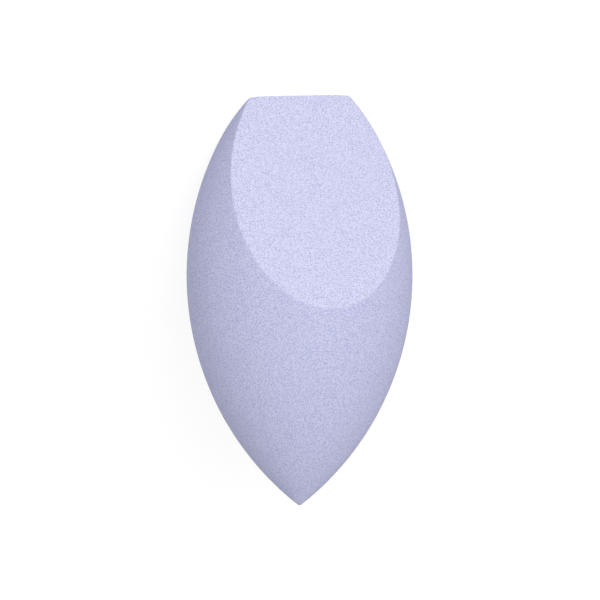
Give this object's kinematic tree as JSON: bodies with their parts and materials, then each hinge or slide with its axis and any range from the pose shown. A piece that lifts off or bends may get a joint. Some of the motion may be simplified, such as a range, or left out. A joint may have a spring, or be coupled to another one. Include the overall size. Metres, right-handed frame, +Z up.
{
  "type": "makeup sponge",
  "caption": "Soft foam make-up blending sponge: a teardrop body with a pointed end, sliced at the other end to a flat-faced wedge with a straight ridge.",
  "frame": {"origin": "on the table under the middle of the sponge's bounding box; it lies inside the rear slice, almost under the centre of mass", "axes": "+Z up, square to the rear slice on which the sponge lies; +Y level, from the pointed end towards the ridge; +X along the ridge, to the right of someone who looks at the front slice with the ridge up"},
  "size_m": [0.038, 0.0608, 0.0375],
  "materials": {
    "foam": "dry open-cell polyurethane foam, matt and fine-pored, lavender; a slightly closed moulded skin with freshly cut cells on the slices"
  },
  "bodies": {
    "root": {"sponge_body": "foam"}
  },
  "joints": []
}
